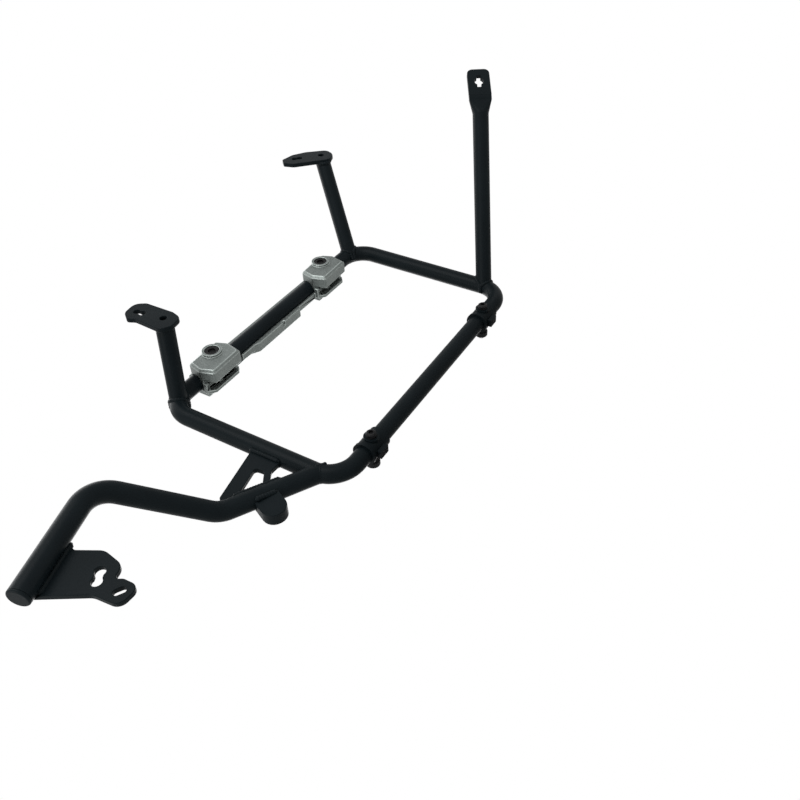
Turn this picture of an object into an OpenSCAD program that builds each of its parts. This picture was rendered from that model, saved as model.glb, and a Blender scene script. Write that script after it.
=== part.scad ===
// Side pannier frame for a motorbike: a bent tube loop with a bolted lower bar,
// three struts and a cranked arm to the bike, and a cast case adapter on the top side.
// X points forward, Y inward to the bike and Z up. Sizes are in millimetres.

/* [Loop] */
// Length of the loop between its upright tube axes
loop_length = 340; // [320:5:380]
// Height of the loop between its level tube axes
loop_height = 205; // [195:5:250]
// Outer diameter of every frame tube
tube_d = 18; // [17:0.5:19]
// Wall of every frame tube
tube_wall = 2; // [1.5:0.25:3]
// Bend radius of the loop's corners, to the tube axis
loop_bend_r = 28; // [25:1:32]

/* [Couplings] */
// From the loop's rear side to the rear coupling bolt
rear_coupling_inset = 56; // [52:1:75]
// From the loop's front side to the front coupling bolt
front_coupling_inset = 53; // [50:1:75]
// Length of a coupling sleeve
sleeve_length = 28; // [24:1:34]
// Wall of a coupling sleeve
sleeve_wall = 2; // [1.5:0.25:3]
// Width of the raised lip at a sleeve's mouth
sleeve_lip_w = 3; // [2:0.5:5]
// From the coupling bolt back to the joint between the two tubes
joint_setback = 7; // [6:0.5:9]
// Diameter of the coupling bolt's shank
coupling_bolt_d = 6; // [5:1:6]
// Diameter of the coupling bolt's domed head
coupling_head_d = 10; // [9:0.5:12]
// Height of the coupling bolt's head
coupling_head_h = 5; // [4:0.5:6]
// Diameter of the coupling's thumb nut
thumb_nut_d = 14; // [12:0.5:16]
// Height of the coupling's thumb nut
thumb_nut_h = 15; // [12:0.5:18]
// Diameter of the spot-faced seats under the head and the thumb nut
seat_d = 15; // [14:0.5:16]
// How far the locating lug stands below the sleeve
lug_drop = 4; // [3:0.5:7]

/* [Upper struts] */
// Place of the rear upper strut's foot on the corner bend, from the forward direction
rear_foot_angle = 117; // [110:1:130]
// From the loop's rear side back to the rear plate's round hole
rear_hole_back = 34; // [24:1:40]
// From the loop's top side up to the rear plate's round hole
rear_hole_up = 64; // [50:1:75]
// From the loop plane in to the rear plate's bearing face
rear_face_in = 98; // [85:1:110]
// Place of the front upper strut's foot on the corner bend, from the forward direction
front_foot_angle = 57; // [45:1:70]
// From the loop's front side back to the front plate's round hole
front_hole_back = 32; // [24:1:40]
// From the loop's top side up to the front plate's round hole
front_hole_up = 9; // [5:1:25]
// From the loop plane in to the front plate's bearing face
front_face_in = 85; // [75:1:100]
// Thickness of the plates on the upper struts
upper_plate_t = 5; // [4:0.5:6]
// Width of the plates on the upper struts
upper_plate_w = 30; // [26:1:34]
// Diameter of the round hole over each strut's end
vent_hole_d = 7; // [5:0.5:9]
// From the round hole to the middle of the rear plate's slot
rear_slot_reach = 30; // [26:1:34]
// From the round hole to the middle of the front plate's slot
front_slot_reach = 27; // [25:1:32]
// Direction of the rear plate, above the forward direction
rear_plate_angle = 44; // [35:1:55]
// Direction of the front plate, above the forward direction
front_plate_angle = 82; // [70:1:95]

/* [Fixing slots] */
// Diameter of each lobe of a two-position slot
slot_lobe_d = 6.4; // [5.5:0.1:7.4]
// Distance between the two lobes
slot_pitch = 6.4; // [5.5:0.1:8]
// Width of the neck between the lobes
slot_neck_w = 4.8; // [4.2:0.1:5.2]

/* [Rear lower strut] */
// Height of the strut's foot above the loop's lower side
long_foot_up = 25; // [20:1:60]
// Heading of the strut in the loop plane, above the forward direction
long_heading = 147.5; // [138:0.5:155]
// Rise of the strut out of the loop plane
long_rise = 61.7; // [55:0.5:68]
// Length of the strut's round stretch
long_round_l = 193; // [160:1:230]
// Length of the squeezed stretch between the round tube and the flat end
squeeze_l = 13; // [10:1:30]
// Width of the flattened end
flat_w = 25; // [23:0.5:27]
// Thickness of the flattened end
flat_t = 5; // [4:0.5:6]
// Bend of the flat end back toward the loop plane
flat_bend = 35; // [25:1:45]
// Length of the flat end from its bend
flat_l = 36; // [33:1:46]
// Radius of the flat end's two corners
flat_corner_r = 6; // [4:0.5:8]
// From the bend to the middle of the keyhole
keyhole_reach = 19; // [17:0.5:22]
// Diameter of the keyhole's middle
keyhole_d = 10.4; // [9.4:0.1:12]
// Length of the keyhole with its slots
keyhole_l = 17; // [15:0.5:20]
// Width of the keyhole's slots
keyhole_slot_w = 4.6; // [4:0.1:5.5]

/* [Lower arm] */
// Bend radius of the arm, to the tube axis
arm_bend_r = 30; // [24:1:34]
// Height of the arm's foot above the loop's lower side
arm_foot_up = 22; // [18:1:40]
// From the loop's front side forward to the arm's first bend
arm_knee_fwd = 86; // [80:1:100]
// From the loop plane in to the arm's first bend
arm_knee_in = 12; // [8:1:18]
// Height of the arm's first bend above the loop's lower side
arm_knee_up = 62; // [56:1:70]
// From the loop's front side forward to the arm's second bend
arm_elbow_fwd = 149; // [140:1:165]
// From the loop plane in to the arm's last stretch
arm_level_in = 73; // [66:1:84]
// Height of the arm's second bend above the loop's lower side
arm_elbow_up = 120.5; // [110:0.5:130]
// Length of the arm's last stretch
arm_last_l = 99; // [90:1:110]
// Slope of the arm's last stretch, below the forward direction
arm_last_slope = 19; // [14:1:26]
// Thickness of the end cap's rim
cap_rim_t = 2.5; // [1.5:0.5:4]
// Depth of the end cap's spigot
cap_spigot_l = 8; // [5:1:12]

/* [Arm plate] */
// Thickness of the arm plate
arm_plate_t = 4.5; // [3.5:0.5:6]
// From the arm's axis out to the plate's bearing face
arm_plate_drop = 6; // [5:0.5:7]
// From the arm's end back to the middle of the plate's two-position slot
arm_slot_back = 40; // [34:1:46]
// From the arm's axis down to the middle of the plate's two-position slot
arm_slot_down = 43; // [41:0.5:56]
// Diameter of each lobe of the arm plate's slot
arm_lobe_d = 8.4; // [7.4:0.2:9]
// Slope of the arm plate's slot, below the forward direction
arm_slot_slope = 30; // [0:5:40]
// Radius of the plate's round ear
ear_r = 9.5; // [9:0.5:12]
// From the two-position slot down to the ear's hole
ear_drop = 22; // [20:0.5:28]
// Width of the ear's hole
ear_hole_w = 5.2; // [4.4:0.1:6.4]
// Length of the ear's hole
ear_hole_l = 9.6; // [8:0.1:11]

/* [Gusset and stop] */
// Thickness of the gusset
gusset_t = 5; // [4:0.5:6]
// Height of the gusset's front edge above the loop's lower side, at the loop
gusset_front_up = 94.5; // [90:0.5:110]
// Reach of the gusset along the arm, from the loop's front side
gusset_reach = 76; // [70:1:80]
// Width of the gusset's front web
front_web_w = 14; // [11:0.5:16]
// Width of the gusset's rear web
rear_web_w = 8; // [6:0.5:10]
// Width of the gusset along the loop's front side
gusset_root_w = 35; // [32:0.5:40]
// From the loop's front side forward to the stop
stop_fwd = 50; // [44:1:56]
// Width of the stop
stop_w = 23; // [20:1:28]
// From the arm's axis down to the middle of the stop's round end
stop_drop = 20; // [16:0.5:24]
// Thickness of the stop
stop_t = 12; // [10:0.5:16]

/* [Case adapter] */
// From the loop's rear side to the rear adapter screw
rear_screw_inset = 72; // [66:1:80]
// From the loop's front side to the front adapter screw
front_screw_inset = 73; // [66:1:80]
// From each adapter screw out to the rail's end
rail_overhang = 27.5; // [25:0.5:30]
// From the tube axis out to the rail's outer face
rail_face_out = 17; // [15:0.5:19]
// From the tube axis up to the rail's top edge
rail_up = 16.5; // [14:0.5:18]
// From the tube axis down to the rail's lower edge
rail_down = 12; // [11:0.5:13]
// Chamfer along the rail's outer edges
rail_chamfer = 3; // [1.5:0.5:4]
// Height of the rail's outer face left above the long bevel between the blocks
bevel_up = 3.5; // [2:0.5:5]
// From each adapter screw to the start of the long bevel
bevel_start = 24; // [20:1:28]
// From the tube axis down to the edge of the rail's flange
flange_down = 14.5; // [13:0.5:18]
// Thickness of the rail's flange
flange_t = 11; // [8:0.5:12]
// From the rear adapter screw to the start of the flange
flange_start = 61; // [52:1:64]
// Length of the flange
flange_l = 85; // [76:1:88]
// Width of the notch that parts the flange
flange_notch_w = 4; // [2:0.5:6]
// From the tube axis in to the clamp blocks' face
block_face_in = 20; // [18:0.5:22]
// From each adapter screw forward to its block's front end
block_fwd = 30; // [28:1:32]
// From each adapter screw back to its block's rear end
block_back = 21; // [19:1:23]
// From the tube axis up to the clamp blocks' top side
block_up = 10; // [9.5:0.5:12]
// From the tube axis down to the clamp blocks' lower side
block_down = 24; // [22:0.5:26]
// Chamfer round the clamp blocks' face
block_chamfer = 2.5; // [1:0.5:3]
// Height of the ring round each clamp screw
ring_h = 2.5; // [1.5:0.5:4]
// Diameter of the ring round each clamp screw
ring_d = 21; // [19:0.5:22]
// Diameter of the adapter screws
adapter_screw_d = 8; // [6:1:8]
// Diameter of the adapter screws' countersunk heads
adapter_head_d = 16; // [14:0.5:17]
// Diameter of the adapter's sleeve nuts
sleeve_nut_d = 15; // [13:0.5:16]
// Length of the adapter's sleeve nuts
sleeve_nut_l = 8; // [7:0.5:9]
// Width of a hook slot, along the loop's depth
hook_slot_w = 9; // [7:0.5:11]
// Thickness of the lip that closes a hook slot
hook_lip_t = 3.5; // [2.5:0.5:5]
// From the tube axis down to the edge of the hook lip
hook_down = 22.5; // [21.5:0.5:26]
// Thickness of the walls that part the hook slots
hook_web_t = 4; // [3:0.5:5]

/* [Clearances] */
// Clearance round a tube in a sleeve or a clamp, on each side
tube_clearance = 0.1; // [0.05:0.05:0.3]
// Clearance round a bolt's shank, on each side
bolt_clearance = 0.3; // [0.2:0.05:0.5]
// Gap between the two tube ends inside a sleeve
joint_gap = 1; // [0.5:0.25:2]
// Fit-up gap where a piece is cut to sit on a tube before welding
fit_up_gap = 0.1; // [0.05:0.01:0.2]
// Gap between the clamp halves
split_gap = 2; // [1:0.5:3]

/* [Hidden] */
$fn = 128;
hull_fn = 32;
corner_steps = 6;
overcut = 1;
tube_r = tube_d / 2;
bore_d = tube_d - 2 * tube_wall;
bend_neck = 0.02;
cope_neck = -0.1;
fold_neck = 0.1;
bend_lap = 0.5;
squeeze_proud = 0.1;
black = [0.09, 0.1, 0.1];
cast_grey = [0.5, 0.52, 0.51];

// Corners of the loop, with the rear top corner of the axes at zero
corner_rt = [0, 0, 0];
corner_ft = [loop_length, 0, 0];
corner_fb = [loop_length, 0, -loop_height];
corner_rb = [0, 0, -loop_height];
rear_bolt_x = rear_coupling_inset;
front_bolt_x = loop_length - front_coupling_inset;

// A coupling is a sleeve with its mouth toward the front
sleeve_r = tube_r + tube_clearance + sleeve_wall;
seat_y = sleeve_r + 1;
lip_h = 0.8;
lug_w = 12;
lug_t = 8;
lug_shift = 1.5;
bolt_hole_d = coupling_bolt_d + 2 * bolt_clearance;
bolt_in_nut = 0.7 * thumb_nut_h;

// Feet and tops of the upper struts
rear_foot = on_bend(loop_bend_r, rear_foot_angle);
front_foot = on_bend(loop_length - loop_bend_r, front_foot_angle);
rear_hole = [-rear_hole_back, rear_face_in, rear_hole_up];
front_hole = [loop_length - front_hole_back, front_face_in, front_hole_up];

// The long strut heads rearward and rises inward from the loop's rear side
long_foot = [0, 0, long_foot_up - loop_height];
long_dir = [cos(long_rise) * cos(long_heading), sin(long_rise), cos(long_rise) * sin(long_heading)];
long_side = [-sin(long_heading), 0, cos(long_heading)];
flat_bend_r = 1.5 * flat_t;
weld_prep = 0.4;

// Stations of the arm
below_bend = max(0, loop_bend_r - arm_foot_up);
foot_shift = loop_bend_r - sqrt(loop_bend_r * loop_bend_r - below_bend * below_bend);
arm_foot = [loop_length - foot_shift, 0, arm_foot_up - loop_height];
arm_knee = [loop_length + arm_knee_fwd, arm_knee_in, arm_knee_up - loop_height];
arm_elbow = [loop_length + arm_elbow_fwd, arm_level_in, arm_elbow_up - loop_height];
arm_end = arm_elbow + arm_last_l * [cos(arm_last_slope), 0, -sin(arm_last_slope)];
arm_path = [arm_foot, arm_knee, arm_elbow, arm_end];
knee_tilt = atan2(arm_knee_in, arm_knee_fwd);
knee_run = norm([arm_knee_fwd, arm_knee_in]);
knee_slope = atan2(arm_knee_up - arm_foot_up, knee_run);

// Adapter stations
rear_screw_x = rear_screw_inset;
front_screw_x = loop_length - front_screw_inset;
screw_hole_d = adapter_screw_d + 2 * bolt_clearance;
clamp_bore_d = tube_d + 2 * tube_clearance;
ring_y = block_face_in + ring_h;
nut_recess = 1;
nut_floor_y = ring_y - nut_recess - sleeve_nut_l;
head_recess = 0.5;
head_h = (adapter_head_d - adapter_screw_d) / 2;
hook_lip_y = split_gap / 2 - 8;
hook_roof_y = hook_lip_y + hook_lip_t + hook_slot_w;
block_step = 2;
roof_gap = 0.3;
hook_lip_back = 16;
hook_lip_fwd = 32;
hook_wall_fwd = 9;
lip_corner = 6;

// The origin is the middle of the front plate's slot, on its bearing face
origin_at = front_hole + front_slot_reach * [cos(front_plate_angle), 0, sin(front_plate_angle)];

// Point of a corner bend's axis at an angle above the forward direction
function on_bend(centre_x, angle) =
    [centre_x + loop_bend_r * cos(angle), 0, loop_bend_r * (sin(angle) - 1)];

function unit(v) = v / norm(v);

function turn_angle(a, b, c) = acos(unit(b - a) * unit(c - b));

// Length of a bend's tangent, from the sharp corner to the start of the bend
function tangent(path, i, r) =
    i <= 0 || i >= len(path) - 1 ? 0 : r * tan(turn_angle(path[i - 1], path[i], path[i + 1]) / 2);

// Points of the arc that rounds one corner of an outline
function corner_arc(a, b, c, r) =
    let (u = unit(a - b), v = unit(c - b), half = acos(u * v) / 2)
    let (reach = min(r / tan(half), 0.49 * norm(a - b), 0.49 * norm(c - b)), fit_r = reach * tan(half))
    let (middle = b + unit(u + v) * fit_r / sin(half), from = b + u * reach - middle)
    let (side = cross(b - a, c - b) > 0 ? 1 : -1, sweep = side * (180 - 2 * half))
    [for (k = [0 : corner_steps]) middle + turned(from, sweep * k / corner_steps)];

function turned(v, angle) = [v.x * cos(angle) - v.y * sin(angle), v.x * sin(angle) + v.y * cos(angle)];

// An outline with each corner [x, y, radius] rounded
function rounded(corners) = [
    for (i = [0 : len(corners) - 1])
        let (n = len(corners), a = corners[(i + n - 1) % n], b = corners[i], c = corners[(i + 1) % n])
        for (p = b[2] > 0 ? corner_arc(flat(a), flat(b), flat(c), b[2]) : [flat(b)]) p
];

function flat(p) = [p[0], p[1]];

// Puts the part's own origin at the front plate
module in_frame() {
    translate(-origin_at) children();
}

// Places children with their X and Z along the given directions
module placed(at, x_dir, z_dir) {
    y_dir = cross(z_dir, x_dir);
    multmatrix([
        [x_dir.x, y_dir.x, z_dir.x, at.x],
        [x_dir.y, y_dir.y, z_dir.y, at.y],
        [x_dir.z, y_dir.z, z_dir.z, at.z],
        [0, 0, 0, 1]
    ]) children();
}

// Lays a flat outline into the loop plane and gives it depth from one Y to another
module upright(y_from, y_to) {
    translate([0, y_to, 0]) rotate([90, 0, 0]) linear_extrude(y_to - y_from) children();
}

// A cylinder across the loop plane
module cross_pin(x, z, d, y_from, y_to) {
    translate([x, y_to, z]) rotate([90, 0, 0]) cylinder(h = y_to - y_from, d = d);
}

module ring_profile(outer, inner) {
    difference() {
        circle(d = outer);
        if (inner > 0) circle(d = inner);
    }
}

module straight_run(from, to, outer, inner) {
    run = to - from;
    translate(from)
        rotate([0, acos(run.z / norm(run)), atan2(run.y, run.x)])
            linear_extrude(norm(run)) ring_profile(outer, inner);
}

// A bend draws the tube's wall in by a hair, and the straight runs lap over its ends
module bend_run(before, at, after, r, outer, inner, neck) {
    u = unit(at - before);
    v = unit(after - at);
    turn = turn_angle(before, at, after);
    inward = unit(v - (u * v) * u);
    centre = at - u * r * tan(turn / 2) + inward * r;
    placed(centre, -inward, cross(-inward, u))
        rotate_extrude(angle = turn) translate([r, 0])
            ring_profile(outer - 2 * neck, inner > 0 ? inner + 2 * neck : 0);
}

// A tube bent along a path of sharp corners; no inner diameter makes it solid
module bent_tube(path, r, outer, inner = 0, neck = bend_neck) {
    last = len(path) - 1;
    for (i = [0 : last - 1]) {
        along = unit(path[i + 1] - path[i]);
        straight_run(path[i] + along * max(0, tangent(path, i, r) - bend_lap),
            path[i + 1] - along * max(0, tangent(path, i + 1, r) - bend_lap), outer, inner);
    }
    for (i = [1 : last - 1])
        bend_run(path[i - 1], path[i], path[i + 1], r, outer, inner, neck);
}

// The solid envelope of the loop, which welded parts are coped against;
// it stands off the bends a little more
module loop_envelope() {
    path = [[rear_bolt_x, 0, -loop_height], corner_rb, corner_rt, corner_ft, corner_fb,
        [front_bolt_x, 0, -loop_height]];
    bent_tube(path, loop_bend_r, tube_d + 2 * fit_up_gap, neck = cope_neck);
}

module arm_envelope() {
    bent_tube(arm_path, arm_bend_r, tube_d + 2 * fit_up_gap, neck = cope_neck);
}

// The four-sided tube, from the rear coupling round to the front one
module u_tube() {
    path = [[rear_bolt_x - joint_setback, 0, -loop_height], corner_rb, corner_rt, corner_ft,
        corner_fb, [front_bolt_x - joint_setback + joint_gap, 0, -loop_height]];
    color(black) in_frame() difference() {
        bent_tube(path, loop_bend_r, tube_d, bore_d);
        cross_pin(front_bolt_x, -loop_height, bolt_hole_d, -tube_d, tube_d);
        for (x = [rear_screw_x, front_screw_x]) cross_pin(x, 0, screw_hole_d, -tube_d, tube_d);
    }
}

module lower_bar() {
    from = [rear_bolt_x - joint_setback + joint_gap, 0, -loop_height];
    to = [front_bolt_x - joint_setback, 0, -loop_height];
    color(black) in_frame() difference() {
        straight_run(from, to, tube_d, bore_d);
        cross_pin(rear_bolt_x, -loop_height, bolt_hole_d, -tube_d, tube_d);
    }
}

// A turned sleeve with a lipped mouth, two spot-faced seats and a lug below
module sleeve(bolt_x) {
    start = bolt_x - sleeve_length / 2;
    translate([0, 0, -loop_height]) difference() {
        union() {
            translate([start, 0, 0]) rotate([0, 90, 0]) cylinder(h = sleeve_length, r = sleeve_r);
            translate([start + sleeve_length - sleeve_lip_w, 0, 0])
                rotate([0, 90, 0]) cylinder(h = sleeve_lip_w, r = sleeve_r + lip_h);
            cross_pin(bolt_x, 0, seat_d, -seat_y, seat_y);
            translate([bolt_x + lug_shift - lug_w / 2, -lug_t / 2, -sleeve_r - lug_drop])
                cube([lug_w, lug_t, sleeve_r + lug_drop]);
        }
        translate([start - overcut, 0, 0])
            rotate([0, 90, 0]) cylinder(h = sleeve_length + 2 * overcut, d = clamp_bore_d);
        cross_pin(bolt_x, 0, bolt_hole_d, -seat_y - overcut, seat_y + overcut);
    }
}

module rear_sleeve() {
    color(black) in_frame() sleeve(rear_bolt_x);
}

module front_sleeve() {
    color(black) in_frame() sleeve(front_bolt_x);
}

// A domed socket-head bolt, its head toward the bike
module coupling_bolt() {
    socket_d = 0.5 * coupling_head_d;
    dome_r = 1.2;
    difference() {
        rotate([90, 0, 0]) rotate_extrude() polygon([
            [0, -seat_y - coupling_head_h],
            [coupling_head_d / 2 - dome_r, -seat_y - coupling_head_h],
            [coupling_head_d / 2, -seat_y - coupling_head_h + dome_r],
            [coupling_head_d / 2, -seat_y],
            [coupling_bolt_d / 2, -seat_y],
            [coupling_bolt_d / 2, seat_y + bolt_in_nut],
            [0, seat_y + bolt_in_nut]
        ]);
        translate([0, seat_y + coupling_head_h + overcut, 0])
            rotate([90, 0, 0]) cylinder(h = 0.5 * coupling_head_h + overcut, d = socket_d, $fn = 6);
    }
}

module coupling_bolts() {
    color(black) in_frame()
        for (x = [rear_bolt_x, front_bolt_x]) translate([x, 0, -loop_height]) coupling_bolt();
}

// A thumb nut with a rounded crown, blind over the bolt's end
module thumb_nut() {
    crown = 0.25 * thumb_nut_d;
    neck_r = 0.38 * thumb_nut_d;
    neck_h = 0.3 * thumb_nut_h;
    difference() {
        rotate([90, 0, 0]) rotate_extrude() polygon([
            [0, seat_y],
            [neck_r, seat_y],
            [neck_r, seat_y + neck_h],
            [thumb_nut_d / 2, seat_y + neck_h + crown / 2],
            [thumb_nut_d / 2, seat_y + thumb_nut_h - crown],
            [thumb_nut_d / 2 - crown, seat_y + thumb_nut_h],
            [0, seat_y + thumb_nut_h]
        ]);
        cross_pin(0, 0, coupling_bolt_d, -seat_y - bolt_in_nut, -seat_y + overcut);
    }
}

module thumb_nuts() {
    color(black) in_frame()
        for (x = [rear_bolt_x, front_bolt_x]) translate([x, 0, -loop_height]) thumb_nut();
}

// A strut from a foot on the loop to the back of its plate
module upper_strut(foot, hole) {
    back_y = hole.y - upper_plate_t;
    past_plate = 0.2;
    trim = 3 * tube_d;
    difference() {
        straight_run(foot, hole + past_plate * (hole - foot), tube_d, bore_d);
        loop_envelope();
        translate([hole.x - trim, back_y, hole.z - trim]) cube([2 * trim, trim, 2 * trim]);
    }
}

module rear_upper_strut() {
    color(black) in_frame() upper_strut(rear_foot, rear_hole);
}

module front_upper_strut() {
    color(black) in_frame() upper_strut(front_foot, front_hole);
}

// Two touching holes with a narrower neck, so the bolt can take either of two places
module two_position_slot(lobe_d) {
    share = lobe_d / slot_lobe_d;
    for (side = [-1, 1]) translate([side * share * slot_pitch / 2, 0]) circle(d = lobe_d);
    square([share * slot_pitch, share * slot_neck_w], center = true);
}

// A strut plate in its own plane, with its round hole at zero and its slot along X
module upper_plate(hole, angle, reach, outline) {
    translate(hole) rotate([0, -angle, 0]) upright(-upper_plate_t, 0) difference() {
        polygon(rounded(outline));
        circle(d = vent_hole_d);
        translate([reach, 0]) two_position_slot(slot_lobe_d);
    }
}

// The rear plate narrows to a blunt tip
module rear_upper_plate() {
    half = upper_plate_w / 2;
    heel = 14;
    tip = rear_slot_reach + 18;
    outline = [
        [-heel, -0.3 * half, 7], [-0.6 * heel, -half, 9], [rear_slot_reach + 7, -half + 1, 12],
        [tip, -0.5 * half, 3], [tip, 0.15 * half, 3], [rear_slot_reach + 4, 0.8 * half, 12],
        [0.55 * rear_slot_reach, half, 14], [-0.7 * heel, 0.8 * half, 9], [-heel, 0.1 * half, 7]
    ];
    color(black) in_frame() upper_plate(rear_hole, rear_plate_angle, rear_slot_reach, outline);
}

// The front plate has a broad round tip and a step in its lower edge
module front_upper_plate() {
    half = upper_plate_w / 2;
    heel = 15;
    tip = front_slot_reach + 14;
    outline = [
        [-heel, -0.5 * half, 6], [-0.5 * heel, -1.1 * half, 7], [front_slot_reach - 2, -0.7 * half, 5],
        [front_slot_reach + 6, -0.86 * half, 4], [tip, -0.35 * half, 9], [tip, 0.7 * half, 10],
        [front_slot_reach + 3, 1.03 * half, 8], [-0.2 * heel, 0.78 * half, 9], [-heel, 0.45 * half, 8]
    ];
    color(black) in_frame() upper_plate(front_hole, front_plate_angle, front_slot_reach, outline);
}

// The flattened end in its own plane, from its bend to its rounded tip
module flat_end() {
    half = flat_w / 2;
    difference() {
        polygon(rounded([[-half, -bend_lap, 0], [half, -bend_lap, 0], [half, flat_l, flat_corner_r],
            [-half, flat_l, flat_corner_r]]));
        translate([0, keyhole_reach]) {
            circle(d = keyhole_d);
            square([keyhole_slot_w, keyhole_l], center = true);
        }
    }
}

// The long strut: round tube, squeezed stretch, bend and flat end
module rear_lower_strut() {
    squeeze_top = long_round_l + squeeze_l;
    slice = 0.05;
    round_across = (tube_d + 2 * squeeze_proud) / cos(180 / hull_fn);
    color(black) in_frame() {
        difference() {
            straight_run(long_foot, long_foot + long_dir * long_round_l, tube_d, bore_d);
            loop_envelope();
        }
        placed(long_foot, long_side, long_dir) {
            hull() {
                translate([0, 0, long_round_l - overcut])
                    cylinder(h = slice, d = round_across, $fn = hull_fn);
                translate([-flat_w / 2, -flat_t / 2, squeeze_top - slice])
                    cube([flat_w, flat_t, slice + bend_lap]);
            }
            placed([0, flat_bend_r, squeeze_top], [0, -1, 0], [-1, 0, 0]) {
                rotate_extrude(angle = flat_bend)
                    translate([flat_bend_r - flat_t / 2 + fold_neck, fold_neck - flat_w / 2])
                        square([flat_t - 2 * fold_neck, flat_w - 2 * fold_neck]);
                rotate([0, 0, flat_bend]) translate([flat_bend_r - flat_t / 2, 0, 0])
                    rotate([0, 90, 0]) linear_extrude(flat_t) flat_end();
            }
        }
    }
}

// The cranked arm, coped to the loop's front side
module lower_arm() {
    color(black) in_frame() difference() {
        bent_tube(arm_path, arm_bend_r, tube_d, bore_d);
        loop_envelope();
    }
}

module arm_end_cap() {
    bevel = 1;
    spigot_d = bore_d - 2 * tube_clearance;
    color(black) in_frame()
        translate(arm_end) rotate([0, 90 + arm_last_slope, 0]) rotate_extrude() polygon([
            [0, -cap_spigot_l],
            [spigot_d / 2, -cap_spigot_l],
            [spigot_d / 2, 0],
            [tube_r, 0],
            [tube_r, cap_rim_t - bevel],
            [tube_r - bevel, cap_rim_t],
            [0, cap_rim_t]
        ]);
}

// The arm plate hangs from the arm's last stretch, with a slot and a round ear
module arm_plate() {
    face_y = arm_level_in - arm_plate_drop;
    slot_at = arm_end + [-arm_slot_back, 0, -arm_slot_down + arm_slot_back * tan(arm_last_slope)];
    rear_x = -10;
    front_x = arm_slot_back - 6;
    fall = tan(arm_last_slope);
    under = 1;
    waist_z = 10 - ear_drop;
    chin_z = -ear_drop - ear_r;
    outline = [
        [rear_x, arm_slot_down - rear_x * fall - under, 0], [rear_x + 2, 0.75 * arm_slot_down, 4],
        [-18.5, 0.3 * arm_slot_down, 12], [-15.5, -8, 11], [-4, waist_z + 1, 3],
        [2 - ear_r, waist_z - 5, 5], [1 - ear_r, chin_z, 8], [ear_r + 1, chin_z + 1, 8],
        [ear_r + 3.5, waist_z + 4, 12], [front_x, 0.62 * arm_slot_down, 0],
        [front_x, arm_slot_down - front_x * fall - under, 0]
    ];
    // Along the arm the inner face is cut back for the weld, so that it is flat below the tube;
    // the bevel meets the face just below the tube and its cut runs on past it
    prep_in = -tube_r - fit_up_gap;
    bevel_from = [tube_r / 2, prep_in];
    bevel_to = [tube_r + weld_prep, -arm_plate_drop];
    bevel_far = bevel_to + (bevel_to - bevel_from);
    prep = [[-tube_r, prep_in], bevel_from, bevel_far, [-tube_r, bevel_far.y]];
    color(black) in_frame() difference() {
        translate([slot_at.x, 0, slot_at.z]) upright(face_y - arm_plate_t, face_y) difference() {
            polygon(rounded(outline));
            rotate(-arm_slot_slope) two_position_slot(arm_lobe_d);
            translate([1.5, -ear_drop]) rotate(32) ear_slot();
        }
        placed(arm_elbow, [-sin(arm_last_slope), 0, -cos(arm_last_slope)],
            [cos(arm_last_slope), 0, -sin(arm_last_slope)])
            linear_extrude(arm_last_l + overcut) polygon(prep);
    }
}

module ear_slot() {
    half_l = ear_hole_l / 2;
    half_w = ear_hole_w / 2;
    polygon(rounded([
        [-half_l, -half_w, half_w], [half_l, -half_w, half_w],
        [half_l, half_w, half_w], [-half_l, half_w, half_w]
    ]));
}

// The gusset lies in the plane of the loop's front side and the arm's first stretch
module gusset() {
    front_z = gusset_front_up;
    edge_slope = 0.29;
    arm_z = arm_foot_up;
    rise = tan(knee_slope);
    web_far = front_z - edge_slope * gusset_reach;
    root_z = front_z - gusset_root_w;
    heel_x = 30;
    throat_x = 22;
    window_x = throat_x + 5;
    window_toe = gusset_reach - 8;
    window_heel = heel_x + 12 + rear_web_w;
    window_r = 3;
    outer = [
        [0, front_z, 0], [gusset_reach, web_far, 4], [gusset_reach, arm_z + rise * gusset_reach, 0],
        [heel_x, arm_z + rise * heel_x, 0], [heel_x + 2, root_z - 7.5, 0],
        [throat_x, root_z - 1, 5], [0, root_z, 0]
    ];
    window = [
        [window_x, front_z - front_web_w - edge_slope * window_x, window_r],
        [window_toe, front_z - front_web_w - edge_slope * window_toe, window_r],
        [window_toe, arm_z + rise * window_toe, 0], [window_heel, arm_z + rise * window_heel, 0],
        [heel_x + 8, root_z - 12 + rear_web_w, window_r],
        [window_x - 1, root_z - 4 + rear_web_w, window_r]
    ];
    color(black) in_frame() difference() {
        translate([loop_length, 0, -loop_height]) rotate([0, 0, knee_tilt])
            upright(-gusset_t / 2, gusset_t / 2) difference() {
                polygon(rounded(outer));
                polygon(rounded(window));
            }
        loop_envelope();
        arm_envelope();
    }
}

// A thick round-ended stop under the arm's first stretch
module stop() {
    along = stop_fwd / arm_knee_fwd;
    at = arm_foot + along * (arm_knee - arm_foot);
    half = stop_w / 2;
    color(black) in_frame() difference() {
        translate([at.x, 0, at.z]) rotate([0, -knee_slope, 0])
            upright(at.y - stop_t / 2, at.y + stop_t / 2) polygon(rounded([
                [-half, 0, 0], [-half, -stop_drop - half, half],
                [half, -stop_drop - half, half], [half, 0, 0]
            ]));
        arm_envelope();
    }
}

// Outline of a clamp block round its screw, drawn in by an inset; each end comes to a blunt point
function block_outline(inset) =
    let (corner = 4, front_tip = -8, rear_tip = -4)
    [
        [7 - block_back, block_up - inset, 2],
        [block_fwd - corner - inset, block_up - 1 - inset, 3],
        [block_fwd - inset, front_tip, 4],
        [block_fwd - 1 - corner - inset, inset - block_down, 3],
        [corner - block_back + inset, inset + 1 - block_down, 3],
        [inset - block_back, rear_tip, 4]
    ];

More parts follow.
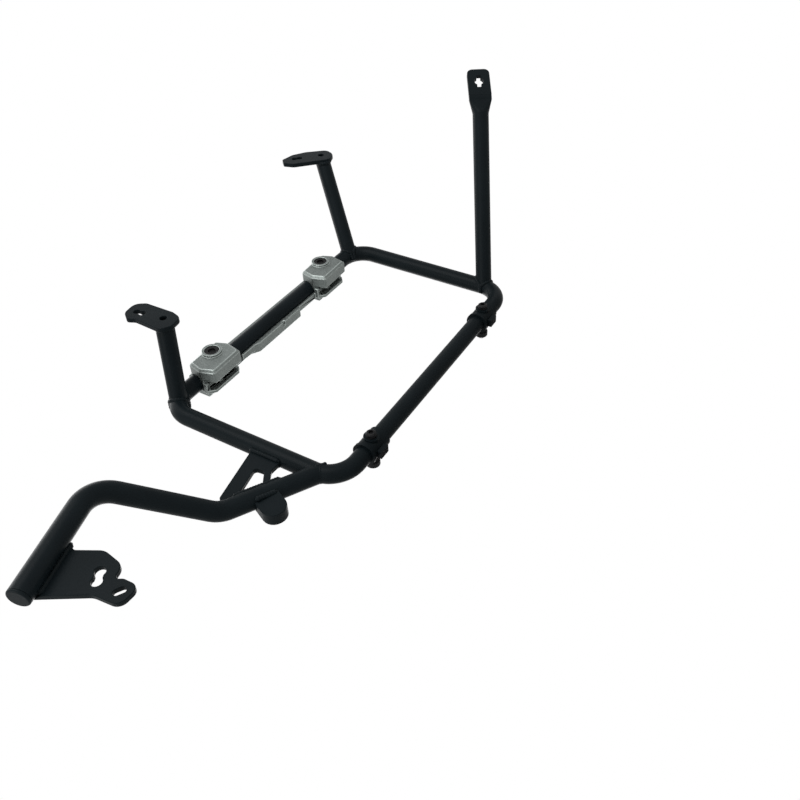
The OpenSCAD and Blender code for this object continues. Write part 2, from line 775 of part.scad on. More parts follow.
// A clamp block: faced and chamfered toward the bike, hollowed for the tube
module clamp_block(x) {
    bottom_y = split_gap / 2;
    trim = 3 * tube_d;
    translate([x, 0, 0]) difference() {
        union() {
            hull() {
                upright(bottom_y, block_face_in - block_chamfer) polygon(rounded(block_outline(0)));
                upright(bottom_y, block_face_in) polygon(rounded(block_outline(block_chamfer)));
            }
            cross_pin(0, 0, ring_d, bottom_y + tube_r, ring_y);
        }
        translate([-trim, 0, 0]) rotate([0, 90, 0]) cylinder(h = 2 * trim, d = clamp_bore_d);
        translate([-trim, bottom_y - overcut, -trim])
            cube([2 * trim, hook_roof_y - bottom_y + overcut, trim - tube_r - block_step]);
        cross_pin(0, 0, screw_hole_d, 0, ring_y);
        cross_pin(0, 0, sleeve_nut_d + 2 * tube_clearance, nut_floor_y, ring_y + overcut);
    }
}

module rear_clamp_block() {
    color(cast_grey) in_frame() clamp_block(rear_screw_x);
}

module front_clamp_block() {
    color(cast_grey) in_frame() clamp_block(front_screw_x);
}

// Lip and walls of one pair of hook slots, below the tube
module hook_slots(x) {
    wall_low = lip_corner - hook_down;
    wall_high = -tube_r - block_step - roof_gap;
    translate([x, 0, 0]) {
        upright(hook_lip_y, hook_lip_y + hook_lip_t) polygon(rounded([
            [-hook_lip_back, -tube_r, 0], [-hook_lip_back, wall_low - 1, 0],
            [lip_corner - hook_lip_back, -hook_down, 2], [hook_lip_fwd - lip_corner - 1, -hook_down, 2],
            [hook_lip_fwd, wall_low, 3], [hook_lip_fwd, -tube_r, 0]
        ]));
        for (wall_x = [-hook_lip_back, hook_wall_fwd, hook_lip_fwd - hook_web_t])
            translate([wall_x, hook_lip_y, wall_low])
                cube([hook_web_t, hook_roof_y - roof_gap - hook_lip_y, wall_high - wall_low]);
    }
}

// Outline of the rail with its two top corners cut
function rail_outline(from, to, down, up, cut) = [
    [from, -down], [to, -down], [to, up - cut], [to - cut, up], [from + cut, up], [from, up - cut]
];

// The outer rail: half round the tube, flat outside, with flange and hook slots
module adapter_rail() {
    x0 = rear_screw_x - rail_overhang;
    x1 = front_screw_x + rail_overhang;
    flange_from = rear_screw_x + flange_start;
    inner_y = -split_gap / 2;
    flange_to = flange_from + flange_l;
    notch_x = flange_from + 0.38 * flange_l;
    notch_floor = 2.5;
    end_cut = 4;
    edge_cut = 1;
    face_up = rail_up - rail_chamfer;
    bevel_in = 0.45 * rail_face_out;
    past_face = rail_face_out + overcut;
    arch_to = 7;
    arch_from = arch_to + 23;
    arch_top = 7 - rail_down;
    arch_r = 6;
    color(cast_grey) in_frame() difference() {
        union() {
            difference() {
                hull() {
                    upright(-rail_face_out + rail_chamfer, inner_y)
                        polygon(rail_outline(x0, x1, rail_down, rail_up, end_cut));
                    upright(-rail_face_out, inner_y)
                        polygon(rail_outline(x0 + edge_cut, x1 - edge_cut, rail_down - edge_cut,
                            face_up, end_cut));
                }
                placed([rear_screw_x + bevel_start, 0, 0], [0, 1, 0], [1, 0, 0])
                    linear_extrude(front_screw_x - rear_screw_x - 2 * bevel_start) polygon([
                        [-bevel_in, -rail_down], [-rail_face_out, -bevel_up], [-past_face, -bevel_up],
                        [-past_face, -rail_down - overcut], [-bevel_in, -rail_down - overcut]
                    ]);
            }
            difference() {
                upright(inner_y - flange_t, inner_y) polygon(rounded([
                    [flange_from, -tube_r, 0], [flange_from + end_cut, -flange_down, 4],
                    [flange_to - 6, -flange_down, 6], [flange_to + 3, -tube_r, 0]
                ]));
                translate([notch_x, inner_y - flange_t / 2, -flange_down - overcut])
                    cube([flange_notch_w, flange_t, flange_down + overcut - tube_r - notch_floor]);
            }
            for (x = [rear_screw_x, front_screw_x]) hook_slots(x);
        }
        translate([x0 - overcut, 0, 0])
            rotate([0, 90, 0]) cylinder(h = x1 - x0 + 2 * overcut, d = clamp_bore_d);
        for (x = [rear_screw_x, front_screw_x]) {
            cross_pin(x, 0, screw_hole_d, -past_face, 0);
            translate([x, -rail_face_out + head_recess + head_h, 0]) rotate([90, 0, 0])
                cylinder(h = head_h, d1 = adapter_screw_d, d2 = adapter_head_d);
            cross_pin(x, 0, adapter_head_d, -past_face, -rail_face_out + head_recess);
            upright(-past_face, inner_y + overcut) polygon(rounded([
                [x - arch_from, -rail_down - overcut, 0], [x - arch_to, -rail_down - overcut, 0],
                [x - arch_to, arch_top, arch_r], [x - arch_from, arch_top, arch_r]
            ]));
        }
    }
}

// A countersunk socket screw through rail, tube and block
module adapter_screw() {
    socket_d = 0.6 * adapter_screw_d;
    socket_l = 0.8 * adapter_screw_d;
    head_y = rail_face_out - head_recess;
    difference() {
        rotate([90, 0, 0]) rotate_extrude() polygon([
            [0, -ring_y + nut_recess + 2],
            [adapter_screw_d / 2, -ring_y + nut_recess + 2],
            [adapter_screw_d / 2, head_y - head_h],
            [adapter_head_d / 2, head_y],
            [0, head_y]
        ]);
        cross_pin(0, 0, socket_d, -head_y - overcut, -head_y + socket_l, $fn = 6);
    }
}

module adapter_screws() {
    color(black) in_frame()
        for (x = [rear_screw_x, front_screw_x]) translate([x, 0, 0]) adapter_screw();
}

module sleeve_nuts() {
    nut_face_y = ring_y - nut_recess;
    color(black) in_frame()
        for (x = [rear_screw_x, front_screw_x]) translate([x, 0, 0]) difference() {
            cross_pin(0, 0, sleeve_nut_d, nut_floor_y, nut_face_y);
            cross_pin(0, 0, adapter_screw_d, nut_floor_y - overcut, nut_face_y + overcut);
        }
}

u_tube();
lower_bar();
rear_sleeve();
front_sleeve();
coupling_bolts();
thumb_nuts();
rear_upper_strut();
rear_upper_plate();
front_upper_strut();
front_upper_plate();
rear_lower_strut();
lower_arm();
arm_end_cap();
arm_plate();
gusset();
stop();
adapter_rail();
rear_clamp_block();
front_clamp_block();
adapter_screws();
sleeve_nuts();
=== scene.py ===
import math

import bmesh
import bpy
from mathutils import Matrix, Vector


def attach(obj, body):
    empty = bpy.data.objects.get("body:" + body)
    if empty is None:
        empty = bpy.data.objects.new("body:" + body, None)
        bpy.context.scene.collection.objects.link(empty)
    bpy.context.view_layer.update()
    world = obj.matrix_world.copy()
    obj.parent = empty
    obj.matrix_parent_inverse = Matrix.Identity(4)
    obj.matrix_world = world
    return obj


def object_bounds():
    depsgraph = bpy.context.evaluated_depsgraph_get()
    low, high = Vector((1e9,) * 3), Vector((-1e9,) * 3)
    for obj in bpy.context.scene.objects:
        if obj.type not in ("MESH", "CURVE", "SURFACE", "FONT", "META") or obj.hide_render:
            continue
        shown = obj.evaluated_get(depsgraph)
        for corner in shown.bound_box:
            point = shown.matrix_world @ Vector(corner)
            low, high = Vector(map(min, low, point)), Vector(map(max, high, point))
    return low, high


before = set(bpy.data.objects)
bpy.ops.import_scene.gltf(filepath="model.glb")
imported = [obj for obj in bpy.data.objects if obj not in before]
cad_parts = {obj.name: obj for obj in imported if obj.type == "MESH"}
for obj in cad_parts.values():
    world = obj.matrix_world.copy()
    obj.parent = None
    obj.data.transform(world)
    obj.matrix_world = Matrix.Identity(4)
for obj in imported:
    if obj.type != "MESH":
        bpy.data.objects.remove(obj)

cad_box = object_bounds()
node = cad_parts

# Camera: the frame is seen from its bike side, from in front and below, as in the picture,
# where it lies on its outer side and the struts stand up. The picture is 800 by 800.
PICTURE_PX = 800
FOCAL_PX = 785
SENSOR = 36
NEAREST = 0.02
eye = Vector((0.39973, 0.42491, -0.53741))
picture_right = Vector((-0.50659, -0.02879, -0.86170)).normalized()
picture_back = Vector((0.63707, 0.66094, -0.39661)).normalized()
picture_up = picture_back.cross(picture_right).normalized()
picture_right = picture_up.cross(picture_back)
lens = bpy.data.cameras.new("camera")
lens.sensor_width = SENSOR
lens.lens = SENSOR * FOCAL_PX / PICTURE_PX
lens.clip_start = NEAREST
camera = bpy.data.objects.new("camera", lens)
bpy.context.scene.collection.objects.link(camera)
turn = Matrix((picture_right, picture_up, picture_back)).transposed().to_4x4()
camera.matrix_world = Matrix.Translation(eye) @ turn
bpy.context.scene.camera = camera


# Tubes: seamless steel tube, 18 mm across, drawn round a former at each corner and
# powder coated satin black after welding. The coat has a fine orange peel.
class Reading:
    """A socket of a finish; sums written on it become Math nodes of that finish."""

    def __init__(self, tree, socket=None):
        self.tree = tree
        self.socket = socket

    def add(self, kind, settings=None, sockets=None, out=0):
        """Adds a node: its settings first, then the values or links of its sockets."""
        made = self.tree.nodes.new(kind)
        for name, value in (settings or {}).items():
            if name == "stops":
                for element, (along, colour) in zip(made.color_ramp.elements, value):
                    element.position = along
                    element.color = colour
            else:
                setattr(made, name, value)
        for name, value in (sockets or {}).items():
            if isinstance(value, Reading):
                self.tree.links.new(value.socket, made.inputs[name])
            else:
                made.inputs[name].default_value = value
        return Reading(self.tree, made.outputs[out])

    def maths(self, operation, first, second):
        return self.add("ShaderNodeMath", {"operation": operation}, {0: first, 1: second})

    def __add__(self, other):
        return self.maths("ADD", self, other)

    __radd__ = __add__

    def __mul__(self, other):
        return self.maths("MULTIPLY", self, other)

    __rmul__ = __mul__


def finish_of(name):
    """A new material, with a reading to add nodes by and its place in the part's own frame."""
    made = bpy.data.materials.new(name)
    made.use_nodes = True
    start = Reading(made.node_tree)
    place = start.add("ShaderNodeTexCoord", out="Object")
    return made, start, place


def shade(made, **sockets):
    """Sets or links the sockets of the material's own shader."""
    shader = made.node_tree.nodes["Principled BSDF"]
    for name, value in sockets.items():
        target = shader.inputs[name.replace("_", " ")]
        if isinstance(value, Reading):
            made.node_tree.links.new(value.socket, target)
        else:
            target.default_value = value


COAT_DARK = (0.0028, 0.0046, 0.0056, 1)
COAT_LIGHT = (0.0060, 0.0092, 0.0110, 1)
COAT_ROUGH = 0.31
CLOUD_DULLS = 0.12
CLOUD_SCALE = 26
PEEL_SCALE = 430
PEEL_SHARE = 0.7
FINE_SCALE = 1500
FINE_SHARE = 0.3
FINE_DULLS = 0.06

black_coat, start, place = finish_of("black_powder_coat")
peel = start.add("ShaderNodeTexNoise", None,
    {"Vector": place, "Scale": PEEL_SCALE, "Detail": 2.0, "Roughness": 0.5})
fine = start.add("ShaderNodeTexNoise", None,
    {"Vector": place, "Scale": FINE_SCALE, "Detail": 1.0})
cloud = start.add("ShaderNodeTexNoise", None,
    {"Vector": place, "Scale": CLOUD_SCALE, "Detail": 3.0, "Roughness": 0.6})
coat_colour = start.add("ShaderNodeMix", {"data_type": "RGBA"},
    {"Factor": cloud, "A": COAT_DARK, "B": COAT_LIGHT}, out="Result")
coat_bump = start.add("ShaderNodeBump", None,
    {"Strength": 0.35, "Distance": 0.0003, "Height": PEEL_SHARE * peel + FINE_SHARE * fine})
shade(black_coat, Base_Color=coat_colour, Normal=coat_bump, Specular_IOR_Level=0.05,
    Roughness=COAT_ROUGH + CLOUD_DULLS * cloud + FINE_DULLS * fine)

SHARP_FROM = math.radians(35)
FLAT_WITHIN = math.radians(0.5)
JOIN_WITHIN = 0.00001
ROUND_STEPS = 2


def dress(name, finish, edge=0, edge_finish=None):
    """Gives a CAD node its finish and, where edge is given, real round edges of that width."""
    piece = node[name]
    piece.data.materials.clear()
    piece.data.materials.append(finish)
    if edge:
        if "custom_normal" in piece.data.attributes:
            piece.data.attributes.remove(piece.data.attributes["custom_normal"])
        piece.data.shade_smooth()
        join = piece.modifiers.new("join", "WELD")
        join.merge_threshold = JOIN_WITHIN
        plain = piece.modifiers.new("plain", "DECIMATE")
        plain.decimate_type = "DISSOLVE"
        plain.angle_limit = FLAT_WITHIN
        soften = piece.modifiers.new("soften", "BEVEL")
        soften.width = edge
        soften.segments = ROUND_STEPS
        soften.limit_method = "ANGLE"
        soften.angle_limit = SHARP_FROM
        soften.use_clamp_overlap = False
        soften.harden_normals = True
        if edge_finish:
            piece.data.materials.append(edge_finish)
            soften.material = 1
        level = piece.modifiers.new("level", "WEIGHTED_NORMAL")
        level.keep_sharp = True


for name in ("u_tube", "lower_bar", "rear_upper_strut", "front_upper_strut",
        "rear_lower_strut", "lower_arm"):
    dress(name, black_coat)


# Couplings: turned steel sleeves over the joints of the loop, coated with the tubes. Each is
# pinched by a socket bolt and a thumb nut, blacked by oxide, so that the lower bar comes out.
for name in ("rear_sleeve", "front_sleeve"):
    dress(name, black_coat)

OXIDE = (0.0060, 0.0062, 0.0068, 1)
OXIDE_WORN = (0.020, 0.020, 0.020, 1)
OXIDE_ROUGH = 0.32
WEAR_SCALE = 160
WEAR_DULLS = 0.14
WEAR_FROM = 0.45
WEAR_FULL = 0.75

black_oxide, start, place = finish_of("black_oxide_steel")
wear = start.add("ShaderNodeTexNoise", None,
    {"Vector": place, "Scale": WEAR_SCALE, "Detail": 4.0, "Roughness": 0.65})
worn = start.add("ShaderNodeValToRGB",
    {"stops": [(WEAR_FROM, (0, 0, 0, 1)), (WEAR_FULL, (1, 1, 1, 1))]}, {"Fac": wear})
oxide_colour = start.add("ShaderNodeMix", {"data_type": "RGBA"},
    {"Factor": worn, "A": OXIDE, "B": OXIDE_WORN}, out="Result")
oxide_bump = start.add("ShaderNodeBump", None,
    {"Strength": 0.2, "Distance": 0.0001, "Height": wear})
shade(black_oxide, Base_Color=oxide_colour, Normal=oxide_bump, Specular_IOR_Level=0.1,
    Roughness=OXIDE_ROUGH + WEAR_DULLS * wear)

COUPLING_EDGE = 0.00025
for name in ("coupling_bolts", "thumb_nuts"):
    dress(name, black_oxide, edge=COUPLING_EDGE)


# Upper struts: short tubes coped to the loop's top corners and welded all round, each with
# a 5 mm cut plate welded square to the bike's side. Fillet welds, coated with the rest.
# Their places are in mm from the loop's rear top corner, as in the part's source.
LOOP_L = 340
LOOP_H = 205
LOOP_R = 28
TUBE_R = 9
REAR_FOOT_ANGLE = 117
FRONT_FOOT_ANGLE = 57
REAR_HOLE = Vector((-34, 98, 64))
FRONT_HOLE = Vector((308, 85, 9))
FRONT_SLOT_REACH = 27
FRONT_PLATE_ANGLE = math.radians(82)
STRUT_PLATE_T = 5
PLATE_EDGE = 0.0006
MM_PER_M = 1000
BEAD_R = 2.4
BEAD_SIDES = 10
BEAD_STEP = 0.35
FEWEST_RINGS = 8
RIPPLE = 2.6
RIPPLE_DEPTH = 0.055
END_SHARE = 0.35
END_RINGS = 6
NO_LENGTH = 1e-9
SEAM_STEPS = 72
SEAM_WITHIN = 0.01
SEAM_FROM = -6.0
SEAM_TO = 60.0

front_slot = FRONT_HOLE + FRONT_SLOT_REACH * Vector(
    (math.cos(FRONT_PLATE_ANGLE), 0, math.sin(FRONT_PLATE_ANGLE)))
loop_corner = -front_slot / MM_PER_M


def evenly(points, closed):
    """The centres of a bead's rings, a step apart along a path, and the path's length."""
    lengths = [0]
    for a, b in zip(points, points[1:]):
        lengths.append(lengths[-1] + (b - a).length)
    whole = lengths[-1]
    rings = max(FEWEST_RINGS, round(whole / BEAD_STEP))
    line, stretch = [], 0
    for i in range(rings + (0 if closed else 1)):
        goal = whole * i / rings
        while stretch < len(points) - 2 and lengths[stretch + 1] < goal:
            stretch += 1
        span = max(lengths[stretch + 1] - lengths[stretch], NO_LENGTH)
        share = (goal - lengths[stretch]) / span
        line.append(points[stretch].lerp(points[stretch + 1], share))
    return line, rings, whole


def weld_bead(name, path, closed=False, radius=BEAD_R):
    """A rippled fillet bead along a path, given in mm from the loop's rear top corner."""
    points = [Vector(p) for p in path]
    if closed:
        points.append(points[0].copy())
    line, rings, whole = evenly(points, closed)
    mesh = bmesh.new()
    made, side = [], None
    count = len(line)
    for i, centre in enumerate(line):
        before = line[(i - 1) % count] if closed or i else centre
        after = line[(i + 1) % count] if closed or i < count - 1 else centre
        ahead = (after - before).normalized()
        if side is None:
            side = ahead.orthogonal().normalized()
        side = (side - side.dot(ahead) * ahead).normalized()
        other = ahead.cross(side)
        reach = radius * (1 + RIPPLE_DEPTH * math.cos(math.tau * i * whole / rings / RIPPLE))
        if not closed:
            from_end = min(i, count - 1 - i)
            reach *= min(1, END_SHARE + (1 - END_SHARE) * from_end / END_RINGS)
        ring = []
        for k in range(BEAD_SIDES):
            a = math.tau * k / BEAD_SIDES
            p = centre + reach * (math.cos(a) * side + math.sin(a) * other)
            ring.append(mesh.verts.new(p / MM_PER_M + loop_corner))
        made.append(ring)
    pairs = list(zip(made, made[1:])) + ([(made[-1], made[0])] if closed else [])
    for one, two in pairs:
        shift = 0
        if two is made[0]:
            shift = min(range(BEAD_SIDES), key=lambda s: (one[0].co - two[s].co).length)
        for k in range(BEAD_SIDES):
            j = (k + 1) % BEAD_SIDES
            far_j, far_k = two[(j + shift) % BEAD_SIDES], two[(k + shift) % BEAD_SIDES]
            mesh.faces.new((one[k], one[j], far_j, far_k))
    if not closed:
        mesh.faces.new(made[0])
        mesh.faces.new(made[-1])
    bmesh.ops.recalc_face_normals(mesh, faces=mesh.faces)
    data = bpy.data.meshes.new(name)
    mesh.to_mesh(data)
    mesh.free()
    data.shade_smooth()
    data.materials.append(black_coat)
    bead = bpy.data.objects.new(name, data)
    bpy.context.scene.collection.objects.link(bead)
    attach(bead, "root")


def near_loop(p):
    """How far a point is from the axis of the loop's tube, in mm."""
    across = abs(p.x - LOOP_L / 2) - (LOOP_L / 2 - LOOP_R)
    along = abs(p.z + LOOP_H / 2) - (LOOP_H / 2 - LOOP_R)
    outside = math.hypot(max(across, 0), max(along, 0)) + min(max(across, along), 0)
    return math.hypot(outside - LOOP_R, p.y)


def tube_wall(foot, top, sit):
    """A tube's direction, and points round its wall at its foot, sunk in by sit mm."""
    ahead = (top - foot).normalized()
    side = ahead.orthogonal().normalized()
    other = ahead.cross(side)
    turns = [math.tau * k / SEAM_STEPS for k in range(SEAM_STEPS)]
    wall = [foot + (TUBE_R + sit) * (math.cos(a) * side + math.sin(a) * other) for a in turns]
    return ahead, wall


def foot_seam(foot, top, sit=-0.5):
    """Where a tube that stands on the loop meets it, all round."""
    ahead, wall = tube_wall(foot, top, sit)
    seam = []
    for start_point in wall:
        low, high = SEAM_FROM, SEAM_TO
        while high - low > SEAM_WITHIN:
            between = (low + high) / 2
            if near_loop(start_point + between * ahead) > TUBE_R + sit:
                high = between
            else:
                low = between
        seam.append(start_point + high * ahead)
    return seam


def plate_seam(foot, top, back_y, sit=-0.3):
    """Where a strut meets the back of its plate, all round."""
    ahead, wall = tube_wall(foot, top, sit)
    return [p + ahead * (back_y - sit - p.y) / ahead.y for p in wall]


def on_bend(centre_x, degrees):
    """A point on the tube's axis in one of the loop's top bends."""
    a = math.radians(degrees)
    return Vector((centre_x + LOOP_R * math.cos(a), 0, LOOP_R * (math.sin(a) - 1)))


rear_foot = on_bend(LOOP_R, REAR_FOOT_ANGLE)
front_foot = on_bend(LOOP_L - LOOP_R, FRONT_FOOT_ANGLE)
for end, foot, hole in (("rear", rear_foot, REAR_HOLE), ("front", front_foot, FRONT_HOLE)):
    weld_bead(end + "_strut_foot_weld", foot_seam(foot, hole), closed=True)
    plate_back = hole.y - STRUT_PLATE_T
    weld_bead(end + "_strut_plate_weld", plate_seam(foot, hole, plate_back), closed=True)
for name in ("rear_upper_plate", "front_upper_plate"):
    dress(name, black_coat, edge=PLATE_EDGE)


# Long strut: a tube welded to the loop's rear side, with its far end squeezed flat, folded
# and punched with a keyhole that takes the bike's own bolt.
LONG_FOOT_UP = 25
LONG_RISE = math.radians(61.7)
LONG_HEADING = math.radians(147.5)
long_foot = Vector((0, 0, LONG_FOOT_UP - LOOP_H))
long_run = 100 * Vector((math.cos(LONG_RISE) * math.cos(LONG_HEADING), math.sin(LONG_RISE),
    math.cos(LONG_RISE) * math.sin(LONG_HEADING)))
weld_bead("long_strut_foot_weld", foot_seam(long_foot, long_foot + long_run), closed=True)


# Arm: a cranked tube from the loop's front side, closed by a turned cap, with a plate for
# two of the bike's bolts, a stiffening gusset and a block that it rests on. All welded.
ARM_FOOT_UP = 22
ARM_KNEE_FWD = 86
ARM_KNEE_IN = 12
ARM_KNEE_UP = 62
ARM_ELBOW_FWD = 149
ARM_ELBOW_UP = 120.5
ARM_LEVEL_IN = 73
ARM_LAST_L = 99
ARM_SLOPE = math.radians(19)
FLUSH_SIT = -0.9
FLUSH_R = 1.4

below_bend = LOOP_R - ARM_FOOT_UP
arm_foot = Vector((
    LOOP_L - LOOP_R + math.sqrt(LOOP_R ** 2 - below_bend ** 2), 0, ARM_FOOT_UP - LOOP_H))
arm_knee = Vector((LOOP_L + ARM_KNEE_FWD, ARM_KNEE_IN, ARM_KNEE_UP - LOOP_H))
arm_elbow = Vector((LOOP_L + ARM_ELBOW_FWD, ARM_LEVEL_IN, ARM_ELBOW_UP - LOOP_H))
arm_end = arm_elbow + ARM_LAST_L * Vector((math.cos(ARM_SLOPE), 0, -math.sin(ARM_SLOPE)))
arm_seam = foot_seam(arm_foot, arm_knee, FLUSH_SIT)
weld_bead("arm_foot_weld", arm_seam, closed=True, radius=FLUSH_R)
for name in ("arm_end_cap", "arm_plate", "gusset", "stop"):
    dress(name, black_coat, edge=PLATE_EDGE)

# The arm plate's weld lies in the groove between the tube's underside and the plate's face
ARM_PLATE_FACE = 67
ARM_SLOT_BACK = 40
PLATE_REAR = -10
PLATE_FRONT = 34
PLATE_BEAD_R = 2.6
GROOVE_DOWN = 7.4
GROOVE_IN = 0.6
END_IN = 1
along_arm = (arm_end - arm_elbow).normalized()
under_arm = Vector((-math.sin(ARM_SLOPE), 0, -math.cos(ARM_SLOPE)))
groove = []
for reach in (ARM_SLOT_BACK - PLATE_REAR - END_IN, ARM_SLOT_BACK - PLATE_FRONT + END_IN):
    p = arm_end - along_arm * reach / math.cos(ARM_SLOPE) + under_arm * GROOVE_DOWN
    groove.append(Vector((p.x, ARM_PLATE_FACE - GROOVE_IN, p.z)))
weld_bead("arm_plate_weld", groove, radius=PLATE_BEAD_R)

# The gusset and the stop are welded on both faces, with straight runs along the tubes
GUSSET_T = 5
GUSSET_FRONT_UP = 94.5
GUSSET_ROOT = 35
GUSSET_WELD_FROM = 34
GUSSET_WELD_TO = 80
GUSSET_BEAD_UP = 0.6
GUSSET_BEAD_OUT = 0.4
STOP_T = 12
STOP_HALF_W = 11.5
STOP_FWD = 50
STOP_BEAD_DOWN = 0.5
STOP_BEAD_OUT = 0.2
gusset_turn = math.atan2(ARM_KNEE_IN, ARM_KNEE_FWD)
gusset_side = Vector((-math.sin(gusset_turn), math.cos(gusset_turn), 0))
gusset_out = Vector((math.cos(gusset_turn), math.sin(gusset_turn), 0))
arm_first = (arm_knee - arm_foot).normalized()
arm_over = arm_first.cross(gusset_side).normalized()
gusset_up = math.sqrt(TUBE_R ** 2 - (GUSSET_T / 2) ** 2) + GUSSET_BEAD_UP
stop_down = math.sqrt(TUBE_R ** 2 - (STOP_T / 2) ** 2) + STOP_BEAD_DOWN
stop_middle = arm_foot + (arm_knee - arm_foot) * STOP_FWD / ARM_KNEE_FWD
stop_half_run = (STOP_HALF_W - END_IN) * arm_first
for side, label in ((1, "inner"), (-1, "outer")):
    to_face = side * (GUSSET_T / 2 + GUSSET_BEAD_OUT) * gusset_side
    root = Vector((LOOP_L, 0, -LOOP_H)) + gusset_up * gusset_out + to_face
    weld_bead("gusset_root_weld_" + label, [
        root + Vector((0, 0, GUSSET_FRONT_UP - END_IN)),
        root + Vector((0, 0, GUSSET_FRONT_UP - GUSSET_ROOT))])
    on_arm = arm_foot + gusset_up * arm_over + to_face
    weld_bead("gusset_arm_weld_" + label, [
        on_arm + GUSSET_WELD_FROM * arm_first, on_arm + GUSSET_WELD_TO * arm_first])
    to_face = Vector((0, side * (STOP_T / 2 + STOP_BEAD_OUT), 0))
    on_stop = stop_middle - stop_down * arm_over + to_face
    weld_bead("stop_weld_" + label, [on_stop - stop_half_run, on_stop + stop_half_run])


# Case adapter: a cast aluminium rail and two clamp blocks round the loop's top side, shot
# blasted and clear coated, each screwed through the tube into a black sleeve nut.
ALLOY_DARK = (0.071, 0.083, 0.079, 1)
ALLOY_LIGHT = (0.225, 0.250, 0.241, 1)
ALLOY_ROUGH = 0.31
FLOW_SCALE = 55
FLOW_SHARE = 0.5
FLOW_DULLS = 0.16
GRAIN_SCALE = 900
GRAIN_SHARE = 0.5
PIT_SCALE = 540
PIT_DEPTH = 0.5

cast_alloy, start, place = finish_of("blasted_cast_aluminium")
grain = start.add("ShaderNodeTexNoise", None,
    {"Vector": place, "Scale": GRAIN_SCALE, "Detail": 3.0, "Roughness": 0.7})
flow = start.add("ShaderNodeTexNoise", None,
    {"Vector": place, "Scale": FLOW_SCALE, "Detail": 4.0, "Roughness": 0.6})
pits = start.add("ShaderNodeTexVoronoi", None, {"Vector": place, "Scale": PIT_SCALE},
    out="Distance")
alloy_share = FLOW_SHARE * flow + GRAIN_SHARE * grain
alloy_colour = start.add("ShaderNodeMix", {"data_type": "RGBA"},
    {"Factor": alloy_share, "A": ALLOY_DARK, "B": ALLOY_LIGHT}, out="Result")
alloy_bump = start.add("ShaderNodeBump", None,
    {"Strength": 0.6, "Distance": 0.0004, "Height": grain + PIT_DEPTH * pits})
shade(cast_alloy, Base_Color=alloy_colour, Normal=alloy_bump, Metallic=0.75,
    Roughness=ALLOY_ROUGH + FLOW_DULLS * flow)

# The castings' bevelled edges get a lighter, shinier finish: a painted highlight standing in
# for lamp light caught along the chamfers
HIGHLIGHT_EDGE_DARK = (0.180, 0.205, 0.196, 1)
HIGHLIGHT_EDGE_LIGHT = (0.360, 0.393, 0.381, 1)
EDGE_ROUGH = 0.3
EDGE_NOISE_SCALE = 360
EDGE_NOISE_DULLS = 0.15
CASTING_EDGE = 0.0007

painted_highlight_edge, start, place = finish_of("aluminium_edge_painted_highlight")
edge_noise = start.add("ShaderNodeTexNoise", None,
    {"Vector": place, "Scale": EDGE_NOISE_SCALE, "Detail": 3.0, "Roughness": 0.6})
highlight_edge_colour = start.add("ShaderNodeMix", {"data_type": "RGBA"},
    {"Factor": edge_noise, "A": HIGHLIGHT_EDGE_DARK, "B": HIGHLIGHT_EDGE_LIGHT}, out="Result")
edge_bump = start.add("ShaderNodeBump", None,
    {"Strength": 0.3, "Distance": 0.0002, "Height": edge_noise})
shade(painted_highlight_edge, Base_Color=highlight_edge_colour, Normal=edge_bump, Metallic=0.7,
    Roughness=EDGE_ROUGH + EDGE_NOISE_DULLS * edge_noise)

# The bevelled edges of each casting take the painted highlight finish, not a worn colour of
# the metal
for name in ("adapter_rail", "rear_clamp_block", "front_clamp_block"):
    dress(name, cast_alloy, edge=CASTING_EDGE, edge_finish=painted_highlight_edge)

ADAPTER_SCREW_EDGE = 0.0003
for name in ("adapter_screws", "sleeve_nuts"):
    dress(name, black_oxide, edge=ADAPTER_SCREW_EDGE)


# Floor: plain pale floor paint, just under the frame as it hangs on the bike. It is open from
# below, where the picture looks up through it, and fades out some way from the frame.
FLOOR_SIZE = 6
FLOOR_GAP = 0.002
FLOOR_COLOUR = (0.80, 0.80, 0.79, 1)
FLOOR_ROUGH = 0.8
MOTTLE_SCALE = 6.0
MOTTLE_DULLS = 0.1
FADE_FROM = 0.6
FADE_TO = 1.25

floor_mesh = bpy.data.meshes.new("floor")
floor_z = cad_box[0].z - FLOOR_GAP
floor_half = FLOOR_SIZE / 2
corners = [(x * floor_half, y * floor_half, floor_z)
    for x, y in ((-1, -1), (1, -1), (1, 1), (-1, 1))]
floor_mesh.from_pydata(corners, [], [(0, 1, 2, 3)])
floor = bpy.data.objects.new("floor", floor_mesh)
bpy.context.scene.collection.objects.link(floor)

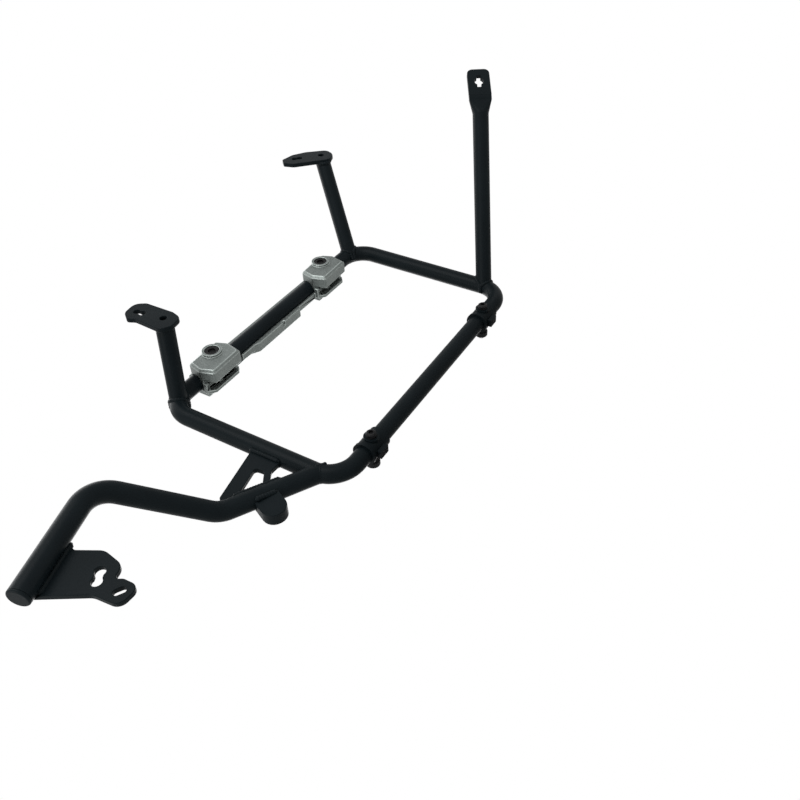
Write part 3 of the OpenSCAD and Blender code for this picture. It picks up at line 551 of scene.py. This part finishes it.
floor_paint, start, place = finish_of("floor_paint")
mottle = start.add("ShaderNodeTexNoise", None, {"Vector": place, "Scale": MOTTLE_SCALE})
shade(floor_paint, Base_Color=FLOOR_COLOUR, Roughness=FLOOR_ROUGH + MOTTLE_DULLS * mottle)
paint = floor_paint.node_tree.nodes["Principled BSDF"]
under = start.add("ShaderNodeNewGeometry", out="Backfacing")
far_off = start.add("ShaderNodeVectorMath", {"operation": "LENGTH"}, {0: place}, out="Value")
fade = start.add("ShaderNodeMapRange", {"interpolation_type": "SMOOTHSTEP"},
    {"Value": far_off, "From Min": FADE_FROM, "From Max": FADE_TO})
open_share = start.maths("MAXIMUM", under, fade)
clear = start.add("ShaderNodeBsdfTransparent")
both = start.add("ShaderNodeMixShader", None,
    {0: open_share, 1: Reading(floor_paint.node_tree, paint.outputs[0]), 2: clear})
ending = floor_paint.node_tree.nodes["Material Output"]
floor_paint.node_tree.links.new(both.socket, ending.inputs["Surface"])
floor_mesh.materials.append(floor_paint)


# Light: four large soft lamps all round, each with its place from the frame's middle and its
# width in metres and its power in watts, and a grey surround. The backdrop is white to the
# camera, in reflections and through what is clear.
LAMPS = (
    ("lamp_bike_side", (0.3, 1.3, 0.5), 1.2, 16),
    ("lamp_front", (1.3, 0.2, 0.2), 1.0, 7),
    ("lamp_top", (-0.2, -0.1, 1.4), 1.4, 12),
    ("lamp_outer_side", (-0.6, -1.4, 0.5), 1.2, 9),
)
SURROUND = 0.32

frame_middle = (cad_box[0] + cad_box[1]) / 2
for name, lamp_place, width, power in LAMPS:
    from_middle = Vector(lamp_place)
    lamp = bpy.data.lights.new(name, "AREA")
    lamp.shape = "DISK"
    lamp.size = width
    lamp.energy = power
    lit = bpy.data.objects.new(name, lamp)
    lit.location = frame_middle + from_middle
    lit.rotation_euler = from_middle.to_track_quat("Z", "Y").to_euler()
    bpy.context.scene.collection.objects.link(lit)

world = bpy.data.worlds.new("studio")
bpy.context.scene.world = world
world.use_nodes = True
start = Reading(world.node_tree)
seen = start.add("ShaderNodeLightPath", out="Is Camera Ray")
mirrored = start.add("ShaderNodeLightPath", out="Is Glossy Ray")
through = start.add("ShaderNodeLightPath", out="Is Transmission Ray")
white = start.maths("MINIMUM", seen + mirrored + through, 1.0)
strength = SURROUND + (1 - SURROUND) * white
backdrop = world.node_tree.nodes["Background"]
backdrop.inputs["Color"].default_value = (1, 1, 1, 1)
world.node_tree.links.new(strength.socket, backdrop.inputs["Strength"])

bpy.context.scene.view_settings.view_transform = "Standard"
